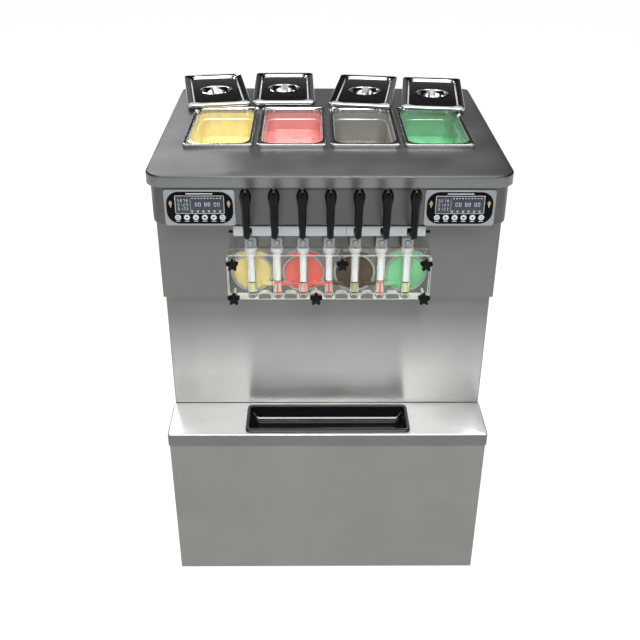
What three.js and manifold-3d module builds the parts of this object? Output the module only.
// A floor-standing soft serve machine with four hoppers, four freezing cylinders and seven draw
// valves. Millimetres, X to the right, Y to the back, Z up from the floor. The front of the base
// cabinet is at Y = 0 until the last lines centre the whole machine on its origin.

import * as THREE from "three";
import { mergeVertices } from "three/addons/utils/BufferGeometryUtils.js";
import Module from "manifold-3d";

// ---- Driving dimensions ----

const sheet = 2; // thickness of the cabinet's sheet steel
const floorThickness = 3;
const gap = 0.3; // clearance between neighbouring pieces
const past = 5; // how far a cutting tool runs past the face that it leaves

const bodyHalfWidth = 422;
const bodyBack = 776;
const cabinetBottom = 12;
const insideHalfWidth = bodyHalfWidth - sheet - gap;

const ledgeTop = 493;
const ledgeLip = 37; // height of the folded edge
const ledgeProud = 4; // how far the ledge stands out of the base
const ledgeCornerRadius = 6;
const ledgeOverlap = 23; // how far the splash panel reaches down behind the ledge
const splashFront = 144;
const stepHeight = 847; // underside of the front panel
const louvreHeight = 10;
const louvrePitch = 34;
const frontPanelFace = 109;
const frontPanelTop = 1100;

const casingFront = 47;
const casingBottom = 1072;
const casingCornerRadius = 38;
const casingLowerRadius = 12;

const deckTop = 1200;
const deckLip = 28;
const deckHalfWidth = 431;
const deckFront = 36;
const deckBack = 790;
const deckFrontRadius = 47;
const deckBackRadius = 20;

const panWidth = 176; // one-third gastronorm pan, the size of the hoppers' rims and lids
const panLength = 325;
const panCornerRadius = 14;
const hopperPitch = 184.5;
const hopperMiddleY = 394.5;
const hopperRimHeight = 10;
const hopperOpening = { width: 151, length: 300, radius: 32 };
const hopperShoulder = 30; // depth of the stacking shoulder below the rim
const hopperDepth = 150;
const hopperFloor = deckTop + hopperRimHeight - hopperDepth;

const cylinderX = [-192, -64, 64, 192];
const cylinderZ = 922;
const cylinderBore = 47;
const cylinderOuter = 53;
const cylinderBack = 400;
const shaftRadius = 8;
const shaftHole = 8.5;
const feedTubeY = 290;
const feedTubeRadius = 9;
const feedTubeX = [-215, -64, 64, 215];

const doorHalfWidth = 252;
const doorFront = 64;
const doorBack = frontPanelFace - gap;
const doorBottom = 863;
const doorTop = 986;
const outletZ = 894; // height of the ports that lead into the valve bores

const valvePitch = 64;
const valveX = [-3, -2, -1, 0, 1, 2, 3].map((step) => step * valvePitch);
const valveY = 86;
const plungerRadius = 10.5;
const valveBoreRadius = 11.2;

const pivotY = 68;
const pivotZ = 1048;
const pivotRadius = 3;
const runningFit = 0.3; // radial clearance around the pivot rod and the door's studs
const noseReach = 18; // from the pivot to the ball that lifts a valve
const gripReach = 98; // from the pivot forward to the grip
const gripFoot = 27; // grip's lower and upper ends, above the pivot
const gripHead = 150;

const railHalfWidth = 231;
const railBottom = 1039;
const railTop = 1064;

const knobPlaces = [[-236, 970], [-236, 876], [32, 970], [-32, 876], [236, 970], [236, 876]];
const knobRadius = 16;
const studRadius = 3;

const panelX = 305;
const panelZ = 1119;
const panelWidth = 166;
const panelHeight = 90;
const tray = { width: 439, depth: 119, middleY: 63.5, top: 503, inside: 40, rim: 7.5, radius: 12 };

const lidPlaces = [
  { x: -324, y: 712, turn: 9 },
  { x: -124, y: 733, turn: 1 },
  { x: 113, y: 706, turn: -8 },
  { x: 309, y: 679, turn: -6 },
];
const lidTop = 1220;

const driveMiddleX = 128;
const condenser = { left: -120, right: 300, front: 700, back: 748, bottom: 60, top: 400 };
const glandX = 300;
const glandZ = 80;

// ---- Solids ----

const wasm = await Module();
wasm.setup();

// Welds a closed geometry's vertices and hands it over for joining and cutting.
function solid(geometry) {
  geometry.deleteAttribute("normal");
  geometry.deleteAttribute("uv");
  const welded = mergeVertices(geometry, 1e-4);
  const index = welded.index.array;
  const triangles = [];
  for (let i = 0; i < index.length; i += 3) {
    const [a, b, c] = [index[i], index[i + 1], index[i + 2]];
    if (a !== b && b !== c && c !== a) triangles.push(a, b, c);
  }
  return new wasm.Manifold(new wasm.Mesh({
    numProp: 3,
    vertProperties: new Float32Array(welded.attributes.position.array),
    triVerts: new Uint32Array(triangles),
  }));
}

const join = (first, ...others) => others.reduce((sum, next) => sum.add(next), first);
const cut = (first, ...tools) => tools.reduce((rest, tool) => rest.subtract(tool), first);

function block(left, right, front, back, bottom, top) {
  const geometry = new THREE.BoxGeometry(right - left, back - front, top - bottom);
  geometry.translate((left + right) / 2, (front + back) / 2, (bottom + top) / 2);
  return solid(geometry);
}

function rodAlongX(radius, left, right, y, z, sides = 12) {
  const geometry = new THREE.CylinderGeometry(radius, radius, right - left, sides);
  return solid(geometry.rotateZ(Math.PI / 2).translate((left + right) / 2, y, z));
}

function rodAlongY(radius, front, back, x, z, sides = 12) {
  const geometry = new THREE.CylinderGeometry(radius, radius, back - front, sides);
  return solid(geometry.translate(x, (front + back) / 2, z));
}

function rodAlongZ(radius, bottom, top, x, y, sides = 12) {
  const geometry = new THREE.CylinderGeometry(radius, radius, top - bottom, sides);
  return solid(geometry.rotateX(Math.PI / 2).translate(x, y, (bottom + top) / 2));
}

// A shape drawn in plan, raised from one height to another.
function raised(shape, bottom, top, curveSegments = 2) {
  const depth = top - bottom;
  const geometry = new THREE.ExtrudeGeometry(shape, { depth, bevelEnabled: false, curveSegments });
  return solid(geometry.translate(0, 0, bottom));
}

// A shape drawn as seen from the front, given its thickness from front to back.
function upright(shape, front, back, curveSegments = 3) {
  const depth = back - front;
  const geometry = new THREE.ExtrudeGeometry(shape, { depth, bevelEnabled: false, curveSegments });
  return solid(geometry.rotateX(Math.PI / 2).translate(0, back, 0));
}

// A shape drawn as seen from the right, with Y across and Z up, given its thickness along X.
function sideways(shape, left, right) {
  const geometry = new THREE.ExtrudeGeometry(shape, { depth: right - left, bevelEnabled: false });
  return solid(geometry.rotateX(Math.PI / 2).rotateZ(Math.PI / 2).translate(left, 0, 0));
}

// A profile of [radius, height] points, turned around the Z axis from the axis back to the axis.
function turned(profile, sides = 12) {
  const points = profile.map(([radius, height]) => new THREE.Vector2(radius, height));
  return solid(new THREE.LatheGeometry(points, sides).rotateX(Math.PI / 2));
}

function roundedRectangle(width, height, radius, middleX = 0, middleY = 0) {
  const reachX = width / 2 - radius;
  const reachY = height / 2 - radius;
  const shape = new THREE.Shape();
  [[1, 1], [-1, 1], [-1, -1], [1, -1]].forEach(([sideX, sideY], quarter) => {
    const start = quarter * Math.PI / 2;
    const x = middleX + sideX * reachX;
    const y = middleY + sideY * reachY;
    shape.absarc(x, y, radius, start, start + Math.PI / 2);
  });
  return shape;
}

// A plan outline with rounded front corners, and back corners that may be rounded too.
function frontRounded(halfWidth, front, back, radius, backRadius = 0) {
  const shape = new THREE.Shape();
  shape.absarc(halfWidth - radius, front + radius, radius, -Math.PI / 2, 0);
  if (backRadius) {
    shape.absarc(halfWidth - backRadius, back - backRadius, backRadius, 0, Math.PI / 2);
    shape.absarc(backRadius - halfWidth, back - backRadius, backRadius, Math.PI / 2, Math.PI);
  } else {
    shape.lineTo(halfWidth, back);
    shape.lineTo(-halfWidth, back);
  }
  shape.absarc(radius - halfWidth, front + radius, radius, Math.PI, 1.5 * Math.PI);
  return shape;
}

// ---- Finishes and the assembly ----

const finishes = {
  brushedSteel: [0x8c8a85, 0.38, 0.9],
  darkSteel: [0x5c6064, 0.42, 0.9],
  polishedSteel: [0xb9bcc0, 0.12, 1],
  clearAcrylic: [0xe4e8dc, 0.06, 0],
  whitePlastic: [0xdde1e3, 0.35, 0],
  blackPlastic: [0x101011, 0.22, 0],
  blackRubber: [0x1b1b1c, 0.8, 0],
  paintedMotor: [0x2f3336, 0.5, 0.4],
  aluminium: [0xa9adb0, 0.45, 0.9],
};

const machine = new THREE.Group();

function add(name, shape, finish, parent = machine) {
  const data = shape.getMesh();
  const geometry = new THREE.BufferGeometry();
  geometry.setAttribute("position", new THREE.BufferAttribute(data.vertProperties, 3));
  geometry.setIndex(new THREE.BufferAttribute(data.triVerts, 1));
  geometry.computeVertexNormals();
  const [color, roughness, metalness] = finishes[finish];
  const material = new THREE.MeshStandardMaterial({ color, roughness, metalness });
  const mesh = new THREE.Mesh(geometry, material);
  mesh.name = name;
  parent.add(mesh);
  return mesh;
}

// ---- Cabinet ----

function cabinetBase() {
  const front = block(-bodyHalfWidth, bodyHalfWidth, 0, sheet, cabinetBottom, ledgeTop - sheet - gap);
  add("base_front_panel", front, "brushedSteel");

  const floorFront = sheet + gap;
  const floorBack = bodyBack - sheet - gap;
  const floor = block(-insideHalfWidth, insideHalfWidth, floorFront, floorBack, cabinetBottom,
    cabinetBottom + floorThickness);
  add("chassis_floor", floor, "darkSteel");

  const halfWidth = bodyHalfWidth + ledgeProud;
  const back = splashFront - gap;
  const outer = raised(frontRounded(halfWidth, -ledgeProud, back, ledgeCornerRadius),
    ledgeTop - ledgeLip, ledgeTop);
  const inner = raised(frontRounded(halfWidth - sheet, sheet - ledgeProud, back + past,
    ledgeCornerRadius - sheet), ledgeTop - ledgeLip - past, ledgeTop - sheet);
  const smaller = 2 * tray.rim - 4; // the hole is 4 mm wider than the tray's basin
  const trayHole = raised(roundedRectangle(tray.width - smaller, tray.depth - smaller, tray.radius,
    0, tray.middleY), ledgeTop - past, ledgeTop + past);
  add("base_ledge", cut(outer, inner, trayHole), "brushedSteel");
}

function frontPanels() {
  const splash = block(-insideHalfWidth, insideHalfWidth, splashFront, splashFront + sheet,
    ledgeTop - ledgeOverlap, stepHeight - gap);
  add("splash_panel", splash, "brushedSteel");

  const face = block(-insideHalfWidth, insideHalfWidth, frontPanelFace, frontPanelFace + sheet,
    stepHeight, frontPanelTop);
  const returnedEdge = block(-insideHalfWidth, insideHalfWidth, frontPanelFace, splashFront + sheet,
    stepHeight, stepHeight + sheet);
  const openings = cylinderX.map((x) => rodAlongY(cylinderOuter + 1, frontPanelFace - past,
    frontPanelFace + sheet + past, x, cylinderZ, 16));
  const studHoles = knobPlaces.map(([x, z]) => rodAlongY(studRadius + runningFit,
    frontPanelFace - past, frontPanelFace + sheet + past, x, z, 8));
  add("front_panel", cut(join(face, returnedEdge), ...openings, ...studHoles), "brushedSteel");
}

// The casing over the draw handles, open at its back and under the deck.
function headCasing() {
  const back = frontPanelFace - gap;
  const top = deckTop - sheet - gap;
  const silhouette = (halfWidth, bottom, radius) => roundedRectangle(2 * halfWidth,
    2 * (top + past - bottom), radius, 0, top + past);
  const skin = (inset, backY, topZ) => raised(frontRounded(bodyHalfWidth - inset,
    casingFront + inset, backY, casingCornerRadius - inset), casingBottom + inset, topZ)
    .intersect(upright(silhouette(bodyHalfWidth - inset, casingBottom + inset,
      casingLowerRadius - inset), casingFront, backY));
  add("head_casing", cut(skin(0, back, top), skin(sheet, back + past, top + past)), "brushedSteel");
}

function deck() {
  const outline = (inset) => frontRounded(deckHalfWidth - inset, deckFront + inset, deckBack - inset,
    deckFrontRadius - inset, deckBackRadius - inset);
  const outer = raised(outline(0), deckTop - deckLip, deckTop, 4);
  const inner = raised(outline(sheet), deckTop - deckLip - past, deckTop - sheet, 4);
  const play = 9; // how much wider a hopper's hole is than its opening
  const holes = hopperX().map((x) => raised(roundedRectangle(hopperOpening.width + play,
    hopperOpening.length + play, hopperOpening.radius + play / 2, x, hopperMiddleY),
    deckTop - deckLip - past, deckTop + past));
  add("deck", cut(outer, inner, ...holes), "darkSteel");
}

// Each side panel follows the cabinet's stepped front, and has louvres low down at the back.
function sidePanels() {
  const top = deckTop - sheet - gap;
  const base = sheet + gap;
  const underLedge = ledgeTop - sheet - gap;
  const corners = [[base, cabinetBottom], [bodyBack, cabinetBottom], [bodyBack, top],
    [frontPanelFace, top], [frontPanelFace, stepHeight], [splashFront, stepHeight],
    [splashFront, underLedge], [base, underLedge]];
  const outline = new THREE.Shape(corners.map(([y, z]) => new THREE.Vector2(y, z)));
  for (const [name, side] of [["side_panel_left", -1], ["side_panel_right", 1]]) {
    const middle = side * (bodyHalfWidth - sheet / 2);
    const louvres = [];
    for (let row = 0; row < 6; row += 1) {
      const z = 120 + row * louvrePitch;
      louvres.push(block(middle - past, middle + past, 440, 700, z, z + louvreHeight));
    }
    add(name, cut(sideways(outline, middle - sheet / 2, middle + sheet / 2), ...louvres),
      "brushedSteel");
  }
}

function rearPanel() {
  const front = bodyBack - sheet;
  const plate = block(-insideHalfWidth, insideHalfWidth, front, bodyBack, cabinetBottom,
    deckTop - sheet - gap);
  const louvres = [];
  for (let row = 0; row < 8; row += 1) {
    const z = condenser.bottom + 30 + row * louvrePitch;
    louvres.push(block(condenser.left, condenser.right - 60, front - past, bodyBack + past, z,
      z + louvreHeight));
  }
  const glandHole = rodAlongY(8, front - past, bodyBack + past, glandX, glandZ);
  add("rear_panel", cut(plate, ...louvres, glandHole), "brushedSteel");
}

function feet() {
  const profile = [[0, 0], [22, 0], [22, 5], [12, 7], [12, cabinetBottom - gap], [0, cabinetBottom - gap]];
  const names = ["foot_front_left", "foot_front_right", "foot_rear_left", "foot_rear_right"];
  names.forEach((name, index) => {
    const foot = add(name, turned(profile, 10), "blackRubber");
    foot.position.set(index % 2 ? 375 : -375, index < 2 ? 50 : 725, 0);
  });
}

// ---- Hoppers, freezing cylinders and their drive ----

function hopperX() {
  return [-1.5, -0.5, 0.5, 1.5].map((step) => step * hopperPitch);
}

// A pan with a turned-down rim, a stacking shoulder and a feed tube down to its cylinder.
function hopper(tubeX) {
  const { width, length, radius } = hopperOpening;
  const rimTop = deckTop + hopperRimHeight;
  const shoulderZ = rimTop - hopperShoulder;
  const step = 8; // how much narrower the pan is below its shoulder
  const tubeY = feedTubeY - hopperMiddleY;
  const tubeEnd = cylinderZ + cylinderOuter + 2;
  const thin = 1.5;
  const walls = 2 * sheet;
  const rim = cut(
    raised(roundedRectangle(panWidth, panLength, panCornerRadius), deckTop + gap, rimTop, 1),
    raised(roundedRectangle(panWidth - 2 * thin, panLength - 2 * thin, panCornerRadius - thin),
      deckTop - past, rimTop - thin, 1));
  const upper = raised(roundedRectangle(width + walls, length + walls, radius + sheet),
    shoulderZ - sheet, rimTop - 1, 1);
  const lower = raised(roundedRectangle(width - step + walls, length - step + walls, radius),
    hopperFloor - sheet, shoulderZ, 1);
  const tube = rodAlongZ(feedTubeRadius, tubeEnd, hopperFloor, tubeX, tubeY, 8);
  return cut(join(rim, upper, lower, tube),
    raised(roundedRectangle(width, length, radius), shoulderZ, rimTop + past, 1),
    raised(roundedRectangle(width - step, length - step, radius - sheet), hopperFloor,
      shoulderZ + past, 1),
    rodAlongZ(feedTubeRadius - sheet, tubeEnd - past, hopperFloor + past, tubeX, tubeY, 8));
}

function hoppers() {
  hopperX().forEach((x, index) => {
    const pan = add(`hopper_${index + 1}`, hopper(feedTubeX[index] - x), "polishedSteel");
    pan.position.set(x, hopperMiddleY, 0);
  });
}

function cylinderBank() {
  const face = frontPanelFace;
  const plate = block(-255, 255, face + 4, face + 10, doorBottom - 1, doorTop + 4);
  const barrels = cylinderX.map((x) => rodAlongY(cylinderOuter, face, cylinderBack, x, cylinderZ, 16));
  const bores = cylinderX.map((x) => rodAlongY(cylinderBore, face - past, cylinderBack - 4, x,
    cylinderZ, 16));
  const shaftHoles = cylinderX.map((x) => rodAlongY(shaftHole, cylinderBack - 10, cylinderBack + past,
    x, cylinderZ, 10));
  const inlets = feedTubeX.map((x) => rodAlongZ(feedTubeRadius - sheet, cylinderZ + 20,
    cylinderZ + cylinderOuter + past, x, feedTubeY, 8));
  add("cylinder_bank", cut(join(plate, ...barrels), ...bores, ...shaftHoles, ...inlets),
    "polishedSteel");
}

class Helix extends THREE.Curve {
  constructor(radius, start, end, turns) {
    super();
    Object.assign(this, { radius, start, end, turns });
  }

  getPoint(t) {
    const angle = 2 * Math.PI * this.turns * t;
    const y = THREE.MathUtils.lerp(this.start, this.end, t);
    return new THREE.Vector3(this.radius * Math.cos(angle), y, this.radius * Math.sin(angle));
  }
}

// A helical dasher on a shaft whose back end sits in the drive unit's socket.
function beater() {
  const helix = new Helix(38, 122, 386, 1.5);
  const section = new THREE.Shape(new THREE.Path().absarc(0, 0, 4.5, 0, 2 * Math.PI).getPoints(2));
  const ribbon = solid(new THREE.ExtrudeGeometry(section, { steps: 18, extrudePath: helix }));
  const spokes = [0.02, 0.98].map((t) => {
    const { x, y, z } = helix.getPoint(t);
    const arm = new THREE.CylinderGeometry(3.5, 3.5, helix.radius, 6).rotateZ(Math.PI / 2);
    return solid(arm.translate(helix.radius / 2, 0, 0).rotateY(-Math.atan2(z, x)).translate(0, y, 0));
  });
  return join(rodAlongY(shaftRadius, 116, cylinderBack + 20, 0, 0, 10), ribbon, ...spokes);
}

function beaters() {
  cylinderX.forEach((x, index) => {
    const dasher = add(`beater_${index + 1}`, beater(), "polishedSteel");
    dasher.position.set(x, 0, cylinderZ);
  });
}

// A gearbox that turns two beaters, with its motor behind it.
function driveUnits() {
  const boxFront = cylinderBack + 4;
  const boxBack = boxFront + 60;
  const casing = block(-100, 100, boxFront, boxBack, cylinderZ - 52, cylinderZ + 52);
  const motor = rodAlongY(52, boxBack - past, boxBack + 170, 0, cylinderZ, 16);
  const terminalBox = block(-30, 30, boxBack + 40, boxBack + 110, cylinderZ + 40, cylinderZ + 75);
  const sockets = [-64, 64].map((x) => rodAlongY(shaftHole, boxFront - past, cylinderBack + 22, x,
    cylinderZ, 10));
  const unit = cut(join(casing, motor, terminalBox), ...sockets);
  add("drive_unit_left", unit, "paintedMotor").position.x = -driveMiddleX;
  add("drive_unit_right", unit, "paintedMotor").position.x = driveMiddleX;
}

// ---- Dispensing head ----

function dispensingDoor() {
  const slab = upright(roundedRectangle(2 * doorHalfWidth, doorTop - doorBottom, 10, 0,
    (doorTop + doorBottom) / 2), doorFront, doorBack);
  const bores = valveX.map((x) => rodAlongZ(valveBoreRadius, doorBottom - past, doorTop + past, x,
    valveY, 12));
  const ports = valveX.map((x, index) => {
    const twist = index % 2 === 1;
    const port = block(x - 7, x + 7, valveY, doorBack + past, outletZ - 6, outletZ + 6);
    const channel = block(x - 34, x + 34, doorBack - 8, doorBack + past, outletZ - 6, outletZ + 6);
    return twist ? port.add(channel) : port;
  });
  const studHoles = knobPlaces.map(([x, z]) => rodAlongY(studRadius + runningFit, doorFront - past,
    doorBack + past, x, z, 8));
  add("dispensing_door", cut(slab, ...bores, ...ports, ...studHoles), "clearAcrylic");
}

// A plunger with a collar, a head block and a slotted neck that a lever's ball lifts.
function drawValve() {
  const collarTop = doorTop + 14;
  const headTop = collarTop + 28;
  const neckTop = headTop + 28;
  const neckFront = -4;
  const body = join(
    rodAlongZ(plungerRadius, doorBottom + 9, doorTop + 8, 0, 0, 12),
    rodAlongZ(16, doorTop + 2, collarTop, 0, 0, 12),
    block(-15, 15, -11, 11, collarTop - 1, headTop),
    block(-13, 13, neckFront, 12, headTop - 1, neckTop),
  );
  return cut(body, block(-5, 5, neckFront - past, 6, pivotZ - 5, pivotZ + 5.3));
}

// A lever that turns on the pivot rod: nose behind, black grip standing up in front.
function drawHandle() {
  const hub = rodAlongX(7, -4.5, 4.5, 0, 0, 8);
  const nose = block(-4, 4, 2, noseReach, -3, 3);
  const ball = solid(new THREE.SphereGeometry(4, 8, 5).translate(0, noseReach, 0));
  const elbow = new THREE.CatmullRomCurve3([
    new THREE.Vector3(0, -5, 0),
    new THREE.Vector3(0, -gripReach / 2, 6),
    new THREE.Vector3(0, 14 - gripReach, 22),
    new THREE.Vector3(0, -gripReach, gripFoot + 10),
  ]);
  const section = new THREE.Shape(new THREE.Path().absarc(0, 0, 4.2, 0, 2 * Math.PI).getPoints(2));
  const shank = solid(new THREE.ExtrudeGeometry(section, { steps: 4, extrudePath: elbow }));
  const grip = turned([[0, gripFoot], [7.6, gripFoot], [7.8, 44], [9.2, 62], [9.8, 104], [13.7, 135],
    [10, gripHead], [0, gripHead]], 8).translate([0, -gripReach, 0]);
  return cut(join(hub, nose, ball, shank, grip), rodAlongX(pivotRadius + runningFit, -10, 10, 0, 0, 8));
}

function valvesAndHandles() {
  valveX.forEach((x, index) => {
    add(`draw_valve_${index + 1}`, drawValve(), "whitePlastic").position.set(x, valveY, 0);
    add(`handle_${index + 1}`, drawHandle(), "blackPlastic").position.set(x, pivotY, pivotZ);
  });
}

function handleRail() {
  const bar = block(-railHalfWidth, railHalfWidth, 62, frontPanelFace - gap, railBottom, railTop);
  const pockets = valveX.map((x) => block(x - 16, x + 16, 74, frontPanelFace + past,
    railBottom - past, railTop + past));
  const slots = valveX.map((x) => block(x - 6, x + 6, 60, 75, railBottom - past, railTop - 4));
  const bore = rodAlongX(pivotRadius + runningFit, -railHalfWidth - past, railHalfWidth + past, pivotY,
    pivotZ, 8);
  add("handle_rail", cut(bar, ...pockets, ...slots, bore), "whitePlastic");

  const rodEnd = railHalfWidth + 12;
  const rod = rodAlongX(pivotRadius, -rodEnd, rodEnd, pivotY, pivotZ, 8);
  const ends = [[-rodEnd, -railHalfWidth - 1], [railHalfWidth + 1, rodEnd]].map(([left, right]) =>
    rodAlongX(5, left, right, pivotY, pivotZ, 8));
  add("pivot_rod", join(rod, ...ends), "blackPlastic");
}

// A five-lobed knob with the stud that holds the door.
function starKnob() {
  const lobes = 5;
  const points = [];
  for (let step = 0; step < 20; step += 1) {
    const angle = 2 * Math.PI * step / 20;
    const radius = knobRadius - 3.2 + 3.2 * Math.cos(lobes * angle);
    points.push(new THREE.Vector2(radius * Math.cos(angle), radius * Math.sin(angle)));
  }
  const star = upright(new THREE.Shape(points), 34, 52);
  return join(star, rodAlongY(7, 51, doorFront - gap, 0, 0, 10),
    rodAlongY(studRadius, 60, frontPanelFace + 3.7, 0, 0, 8));
}

function knobs() {
  knobPlaces.forEach(([x, z], index) => {
    add(`door_knob_${index + 1}`, starKnob(), "blackPlastic").position.set(x, 0, z);
  });
}

function controlPanels() {
  const plate = upright(roundedRectangle(panelWidth, panelHeight, 8), casingFront - 3,
    casingFront - gap, 1);
  add("control_panel_left", plate, "aluminium").position.set(-panelX, 0, panelZ);
  add("control_panel_right", plate, "aluminium").position.set(panelX, 0, panelZ);
}

function dripTray() {
  const wall = 2;
  const rim = raised(roundedRectangle(tray.width, tray.depth, tray.radius + wall), ledgeTop + gap,
    tray.top);
  const width = tray.width - 2 * tray.rim;
  const depth = tray.depth - 2 * tray.rim;
  const basin = raised(roundedRectangle(width, depth, tray.radius),
    tray.top - tray.inside - wall, tray.top - 1);
  const inside = raised(roundedRectangle(width - 2 * wall, depth - 2 * wall, tray.radius - wall),
    tray.top - tray.inside, tray.top + past);
  add("drip_tray", cut(join(rim, basin), inside), "blackPlastic").position.y = tray.middleY;
}

// ---- Lids, lying on the deck behind the hoppers ----

// A pan lid: turned-down edge, sunken panel, and a round cup with a bar across it to lift by.
function lid() {
  const thin = 1.5;
  const skirt = 9;
  const sunk = 5;
  const cupDepth = lidTop - deckTop - gap;
  const cupRadius = 36;
  const edge = cut(
    raised(roundedRectangle(panWidth, panLength, panCornerRadius), -skirt, 0, 1),
    raised(roundedRectangle(panWidth - 2 * thin, panLength - 2 * thin, panCornerRadius - thin),
      -skirt - past, -thin, 1));
  const inner = { width: 138, length: 287, radius: 26 };
  const panel = raised(roundedRectangle(inner.width + 2 * thin, inner.length + 2 * thin,
    inner.radius + thin), -sunk - thin, -0.5, 1);
  const recess = raised(roundedRectangle(inner.width, inner.length, inner.radius), -sunk, past, 1);
  const cup = rodAlongZ(cupRadius + thin, -cupDepth, -sunk - 0.5, 0, 0, 16);
  const hollow = rodAlongZ(cupRadius, thin - cupDepth, past, 0, 0, 16);
  const bar = block(-8, 8, -cupRadius - 1, cupRadius + 1, -sunk - 2.5, -sunk + 0.5);
  return join(cut(join(edge, panel, cup), recess, hollow), bar);
}

function lids() {
  lidPlaces.forEach(({ x, y, turn }, index) => {
    const cover = add(`lid_${index + 1}`, lid(), "polishedSteel");
    cover.position.set(x, y, lidTop);
    cover.rotation.z = THREE.MathUtils.degToRad(turn);
  });
}

// ---- Refrigeration and electrics inside the cabinet ----

function refrigeration() {
  const floorTop = cabinetBottom + 3 + gap;
  const shell = turned([[0, floorTop], [70, floorTop], [70, 30], [98, 44], [104, 60], [104, 230],
    [92, 262], [60, 280], [0, 286]], 14);
  add("compressor", shell, "paintedMotor").position.set(-230, 420, 0);

  // The condenser is a block of upright fins, with the fan's motor on two arms in front of it.
  const { left, right, front, back, bottom, top } = condenser;
  const fins = 8;
  const pitch = (right - left) / fins;
  const comb = [[left, back]];
  for (let fin = 0; fin < fins; fin += 1) {
    const x = left + fin * pitch;
    comb.push([x, front], [x + pitch / 2, front], [x + pitch / 2, back - 12], [x + pitch, back - 12]);
  }
  comb.push([right, back]);
  const finBlock = raised(new THREE.Shape(comb.map(([x, y]) => new THREE.Vector2(x, y))), bottom, top);
  const fanX = (left + right) / 2;
  const fanZ = (bottom + top) / 2;
  const legs = [left, right - 12].map((x) => block(x, x + 12, front, back, floorTop, bottom + 1));
  const arms = block(left + 1, right - 12, front - 12, front + 1, fanZ - 12, fanZ + 12);
  const motor = rodAlongY(30, front - 40, front - 11, fanX, fanZ, 12);
  add("condenser", join(finBlock, ...legs, arms, motor), "aluminium");

  const hubBack = front - 40.5;
  const blades = [0, 1, 2, 3, 4].map((blade) => {
    const paddle = new THREE.BoxGeometry(110, 2.5, 62).translate(75, 0, 0).rotateX(0.5);
    return solid(paddle.rotateY(blade * 2 * Math.PI / 5).translate(0, hubBack - 17, 0));
  });
  const fan = join(rodAlongY(28, hubBack - 34, hubBack, 0, 0, 12), ...blades);
  add("condenser_fan", fan, "blackPlastic").position.set(fanX, 0, fanZ);
}

function electrics() {
  const box = join(block(240, 400, 560, 700, 640, 820), block(232, 408, 590, 670, 636, 644));
  add("control_box", box, "aluminium");

  const back = bodyBack + gap;
  const gland = turned([[5.5, back - 8], [7.7, back - 8], [7.7, back], [15, back], [15, back + 7],
    [11, back + 9], [8, back + 24], [5.5, back + 24], [5.5, back - 8]], 8);
  const mesh = add("cable_gland", gland, "blackPlastic");
  mesh.rotation.x = -Math.PI / 2;
  mesh.position.set(glandX, 0, glandZ);
}

cabinetBase();
frontPanels();
headCasing();
deck();
sidePanels();
rearPanel();
feet();
hoppers();
cylinderBank();
beaters();
driveUnits();
dispensingDoor();
valvesAndHandles();
handleRail();
knobs();
controlPanels();
dripTray();
lids();
refrigeration();
electrics();

// The origin is the middle of the machine's box, on the floor.
const middle = new THREE.Box3().setFromObject(machine).getCenter(new THREE.Vector3());
const group = new THREE.Group();
machine.position.set(-middle.x, -middle.y, 0);
group.add(machine);

export default group;
